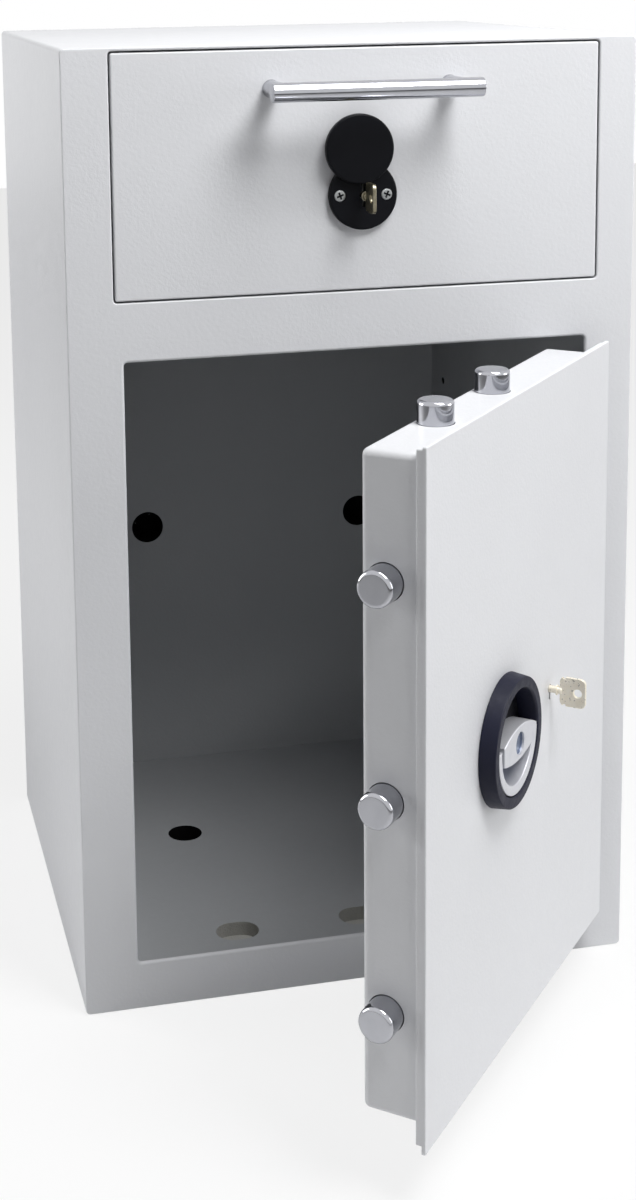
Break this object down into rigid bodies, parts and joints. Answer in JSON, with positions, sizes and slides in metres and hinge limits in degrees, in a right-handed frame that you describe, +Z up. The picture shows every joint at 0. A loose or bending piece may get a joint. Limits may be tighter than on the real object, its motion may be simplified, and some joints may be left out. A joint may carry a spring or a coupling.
{
  "type": "drop safe with deposit drawer",
  "caption": "Free-standing steel drop safe: a hinged bolted door with a turning handle below a sliding deposit drawer that tips items through a throat into the compartment.",
  "frame": {"origin": "middle of the footprint on the floor, under the base", "axes": "+Z up; -Y out of the front, towards someone who stands before the safe; +X to the right as seen from the front, where the door hinges are"},
  "size_m": [0.5, 0.7717, 0.84],
  "materials": {
    "light_grey_paint": "fine textured powder coat",
    "inner_grey_paint": "fine textured powder coat",
    "barrier_fill": "cast concrete",
    "bright_steel": "polished",
    "zinc_steel": "zinc plated",
    "black_plastic": "satin moulded",
    "satin_silver": "satin",
    "key_metal": "aged nickel plate"
  },
  "bodies": {
    "cabinet": {"outer_shell": "light_grey_paint", "front_frame": "light_grey_paint", "back_plate": "light_grey_paint", "safe_liner": "inner_grey_paint", "bay_liner": "inner_grey_paint", "drop_chute": "zinc_steel", "fill_left": "barrier_fill", "fill_right": "barrier_fill", "fill_floor": "barrier_fill", "fill_back": "barrier_fill", "fill_middle": "barrier_fill", "fill_bay_back": "barrier_fill", "drop_baffle": "zinc_steel", "hinge_bracket_upper": "zinc_steel", "hinge_bracket_lower": "zinc_steel", "runner_left": "zinc_steel", "runner_right": "zinc_steel", "drawer_strike": "zinc_steel"},
    "door": {"door_plate": "light_grey_paint", "door_pan": "light_grey_paint", "door_back_cover": "light_grey_paint", "side_bolt_guide": "zinc_steel", "top_bolt_guide": "zinc_steel", "bottom_bolt_guide": "zinc_steel", "hinge_arm_upper": "zinc_steel", "hinge_arm_lower": "zinc_steel", "handle_rim": "black_plastic", "hard_plate": "zinc_steel", "door_lock_case": "zinc_steel"},
    "handle": {"turn_grip": "satin_silver", "handle_spindle": "bright_steel", "drive_cam": "zinc_steel"},
    "side_bolts": {"side_bolt_bar": "zinc_steel", "side_bolt_upper": "bright_steel", "side_bolt_middle": "bright_steel", "side_bolt_lower": "bright_steel"},
    "top_bolts": {"top_bolt_bar": "zinc_steel", "top_bolt_left": "bright_steel", "top_bolt_right": "bright_steel"},
    "bottom_bolts": {"bottom_bolt_bar": "zinc_steel", "bottom_bolt_left": "bright_steel", "bottom_bolt_right": "bright_steel"},
    "door_key": {"door_key": "key_metal"},
    "door_lock_bolt": {"door_lock_bolt": "bright_steel"},
    "drawer": {"drawer_front": "light_grey_paint", "drawer_tray": "zinc_steel", "flap_pin": "bright_steel", "slide_left": "bright_steel", "slide_right": "bright_steel", "pull_bar": "bright_steel", "pull_post_left": "bright_steel", "pull_post_right": "bright_steel", "lock_rose": "black_plastic", "rose_screw_left": "zinc_steel", "rose_screw_right": "zinc_steel", "drawer_lock_case": "zinc_steel"},
    "drop_flap": {"drop_flap": "zinc_steel"},
    "lock_cover": {"lock_cover": "black_plastic"},
    "drawer_key": {"drawer_key": "key_metal"},
    "drawer_lock_bolt": {"drawer_lock_bolt": "bright_steel"}
  },
  "joints": [
    {"name": "door_swing", "type": "hinge", "parent": "cabinet", "child": "door", "pos_m": [0.233, -0.215, 0.311], "axis": [0, 0, 1], "range_deg": [-48.5, 46.5]},
    {"name": "handle_turn", "type": "hinge", "parent": "door", "child": "handle", "pos_m": [0.05363, -0.43283, 0.308], "axis": [-0.749, 0.6626, 0], "range_deg": [0, 90]},
    {"name": "side_bolts_slide", "type": "slide", "parent": "door", "child": "side_bolts", "axis": [0.6626, 0.749, 0], "range_m": [0, 0.02]},
    {"name": "top_bolts_slide", "type": "slide", "parent": "door", "child": "top_bolts", "axis": [0, 0, -1], "range_m": [0, 0.02]},
    {"name": "bottom_bolts_slide", "type": "slide", "parent": "door", "child": "bottom_bolts", "axis": [0, 0, 1], "range_m": [0, 0.02]},
    {"name": "door_key_turn", "type": "hinge", "parent": "door", "child": "door_key", "pos_m": [0.12519, -0.35194, 0.311], "axis": [-0.749, 0.6626, 0], "range_deg": [0, 180]},
    {"name": "door_lock_bolt_slide", "type": "slide", "parent": "door", "child": "door_lock_bolt", "axis": [0, 0, 1], "range_m": [0, 0.014]},
    {"name": "drawer_slide", "type": "slide", "parent": "cabinet", "child": "drawer", "axis": [0, -1, 0], "range_m": [0, 0.3]},
    {"name": "drop_flap_tilt", "type": "hinge", "parent": "drawer", "child": "drop_flap", "pos_m": [0.003, -0.039, 0.669], "axis": [1, 0, 0], "range_deg": [0, 26]},
    {"name": "lock_cover_swing", "type": "hinge", "parent": "drawer", "child": "lock_cover", "pos_m": [0.003, -0.23, 0.732], "axis": [0, 1, 0], "range_deg": [-50, 76]},
    {"name": "drawer_key_turn", "type": "hinge", "parent": "drawer", "child": "drawer_key", "pos_m": [0.003, -0.225, 0.712], "axis": [0, 1, 0], "range_deg": [0, 180]},
    {"name": "drawer_lock_bolt_slide", "type": "slide", "parent": "drawer", "child": "drawer_lock_bolt", "axis": [0, 0, 1], "range_m": [0, 0.012]}
  ],
  "couplings": [
    {"joint": "handle_turn", "follows": "side_bolts_slide", "rad_per_m": 78.5},
    {"joint": "top_bolts_slide", "follows": "side_bolts_slide", "ratio": 1},
    {"joint": "bottom_bolts_slide", "follows": "side_bolts_slide", "ratio": 1},
    {"joint": "door_key_turn", "follows": "door_lock_bolt_slide", "rad_per_m": 224.3},
    {"joint": "drawer_key_turn", "follows": "drawer_lock_bolt_slide", "rad_per_m": 261.7},
    {"joint": "drop_flap_tilt", "follows": "drawer_slide", "rad_per_m": 1.5126}
  ]
}
